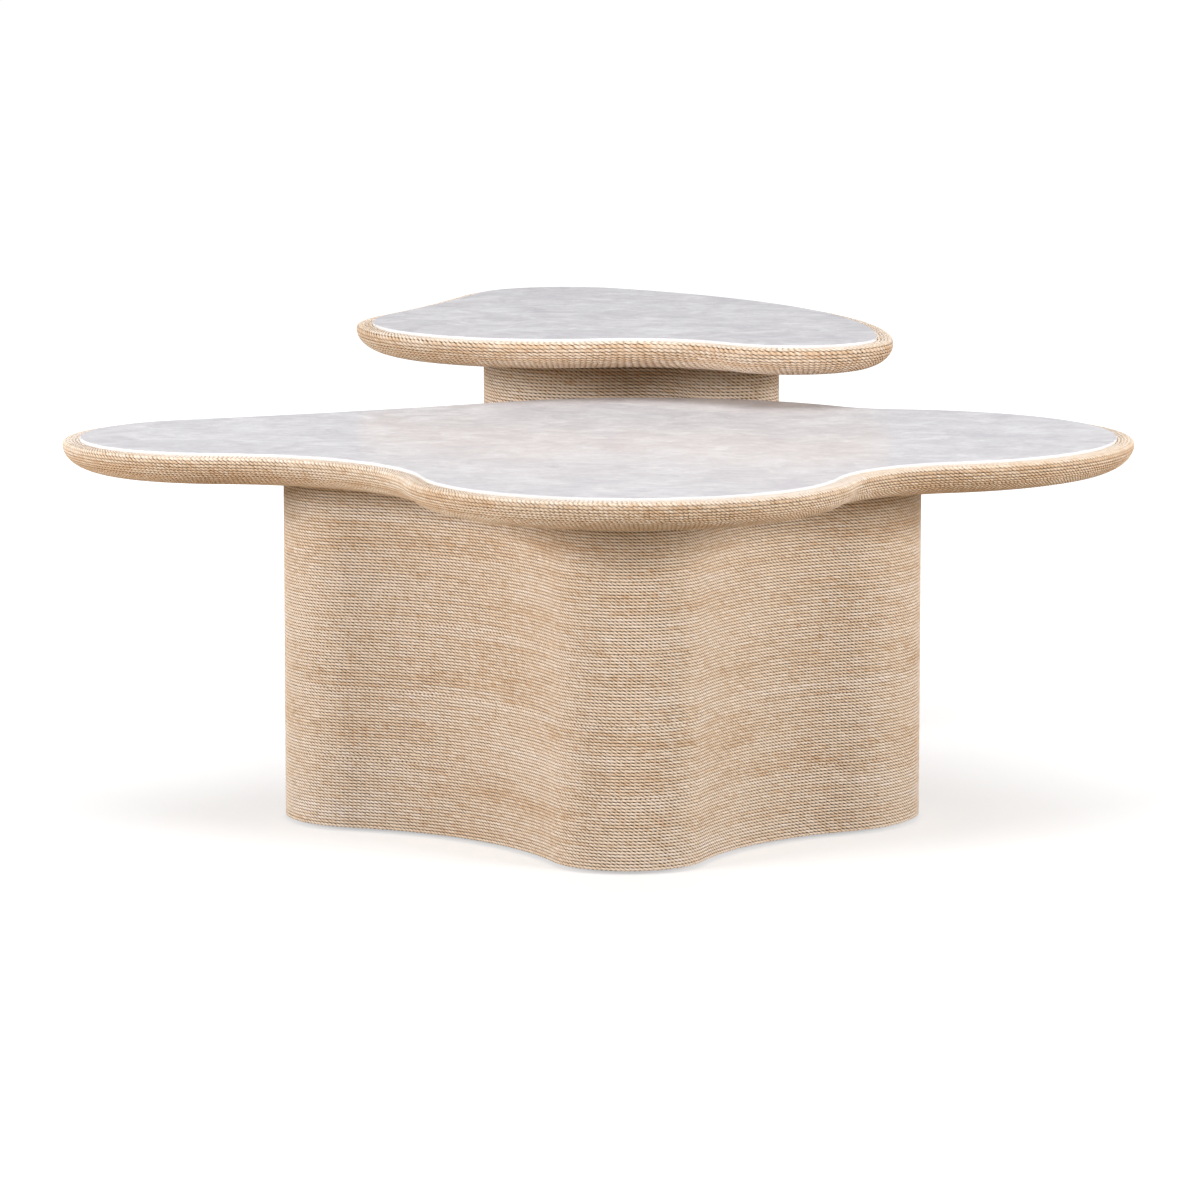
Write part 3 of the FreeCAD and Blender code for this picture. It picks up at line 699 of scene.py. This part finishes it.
# %% Metal and nylon
def metal(name, colour, dull, rough):
    """Metal, duller in stains, rougher in scuffs that are drawn out sideways."""
    finish = Finish(name)
    scuffs = finish.noise(260, 5.0, finish.stretched((1.0, 1.0, 6.0)))
    stains = finish.noise(70, 3.0)
    finish.set(Base_Color=finish.ramp(stains, (0.3, dull), (0.65, colour)), Metallic=1.0)
    finish.set(Roughness=finish.band(scuffs, rough, rough + 0.22))
    finish.bump(scuffs, 0.12, 0.0002)
    return finish.material


def moulded_nylon():
    """Dark nylon with a fine skin, greyer and rougher where it is worn."""
    finish = Finish("moulded nylon")
    skin = finish.noise(900, 2.0)
    wear = finish.noise(60, 4.0)
    finish.set(Base_Color=finish.ramp(wear, (0.3, (0.10, 0.095, 0.09)), (0.7, (0.17, 0.16, 0.15))))
    finish.set(Roughness=finish.band(wear, 0.4, 0.6), Specular_IOR_Level=0.45)
    finish.bump(skin, 0.15, 0.0002)
    return finish.material


brass = metal("brass", (0.80, 0.58, 0.26), (0.62, 0.42, 0.17), 0.22)
zinc = metal("zinc plate", (0.72, 0.73, 0.74), (0.55, 0.56, 0.58), 0.28)
FITTINGS = {
    "top_inserts": brass,
    "frame_screws": zinc,
    "bolt_washers": zinc,
    "top_bolts": zinc,
    "glides": moulded_nylon(),
}
for table in ("large", "small"):
    for part, material in {**WOODS, **FITTINGS}.items():
        dress(f"{table}_{part}", material)
print(len(WOODS) + len(FITTINGS), "hidden nodes to a table finished")

# %% [markdown]
# ## Floor and light
#
# The tables stand on plain white. For the camera and for mirror reflections the floor is pale and glows a
# little, less near the tables, so that it comes out white while it still takes their shadow. For light on
# its way from one surface to another it is darker and warm, so that little of it is thrown up under the
# edges of the tops. Light is soft: a dim sky all round, a wide panel overhead, and two large panels in
# front, left and right.

# %% A pale floor
FLOOR_REACH = 60.0
NEAR, FAR = 0.8, 3.0
NEAR_GLOW, FAR_GLOW = 0.51, 0.87
SEEN_COLOUR, BOUNCE_COLOUR = (0.60, 0.60, 0.60), (0.47, 0.38, 0.28)
floor_mesh = bpy.data.meshes.new("floor")
floor_corners = [(-FLOOR_REACH, -FLOOR_REACH, 0), (FLOOR_REACH, -FLOOR_REACH, 0)]
floor_corners += [(FLOOR_REACH, FLOOR_REACH, 0), (-FLOOR_REACH, FLOOR_REACH, 0)]
floor_mesh.from_pydata(floor_corners, [], [(0, 1, 2, 3)])
floor = bpy.data.objects.new("floor", floor_mesh)
bpy.context.collection.objects.link(floor)


def white_floor():
    """A pale, glowing floor to what is seen, and a darker warm one to light on its way."""
    finish = Finish("white floor")
    finish.set(Roughness=0.9, Specular_IOR_Level=0.0)
    path = finish.nodes.new("ShaderNodeLightPath")
    seen = finish.math("MAXIMUM", path.outputs["Is Camera Ray"], path.outputs["Is Glossy Ray"])
    seen = finish.math("MAXIMUM", seen, path.outputs["Is Transmission Ray"])
    right, back = finish.split(finish.object)[:2]
    away = finish.math("SQRT", finish.math("MULTIPLY_ADD", right, right, finish.math("MULTIPLY", back, back)))
    glow = finish.band(away, NEAR_GLOW, FAR_GLOW, NEAR, FAR)
    finish.set(Base_Color=finish.mix(seen, BOUNCE_COLOUR, SEEN_COLOUR))
    finish.set(Emission_Color=(1.0, 1.0, 1.0, 1.0), Emission_Strength=finish.math("MULTIPLY", seen, glow))
    return finish.material


floor_mesh.materials.append(white_floor())
print("floor", 2 * FLOOR_REACH, "m wide")

# %% Soft light
SKY, SKY_STRENGTH = (0.97, 0.98, 1.0, 1.0), 0.28
PANELS = (
    # name, place, width, height, watts
    ("overhead panel", (0.0, 0.1, 3.6), 4.0, 3.0, 83.0),
    ("left panel", (-5.05, -3.2, 1.9), 2.6, 1.7, 306.0),
    ("right panel", (5.05, -3.2, 1.9), 2.6, 1.7, 294.0),
)
AIM = (0.0, 0.0, 0.3)

world = bpy.data.worlds.new("dim sky")
world.use_nodes = True
sky = world.node_tree.nodes["Background"]
sky.inputs["Color"].default_value, sky.inputs["Strength"].default_value = SKY, SKY_STRENGTH
bpy.context.scene.world = world

for name, place, width, height, watts in PANELS:
    lamp = bpy.data.lights.new(name, "AREA")
    lamp.shape, lamp.size, lamp.size_y, lamp.energy = "RECTANGLE", width, height, watts
    panel = bpy.data.objects.new(name, lamp)
    panel.location = place
    aim = np.array(AIM) - np.array(place)
    pitch, yaw = math.atan2(math.hypot(aim[0], aim[1]), -aim[2]), math.atan2(-aim[0], aim[1])
    panel.rotation_euler = (pitch, 0, yaw)
    bpy.context.collection.objects.link(panel)
print(len(PANELS), "panels of light")
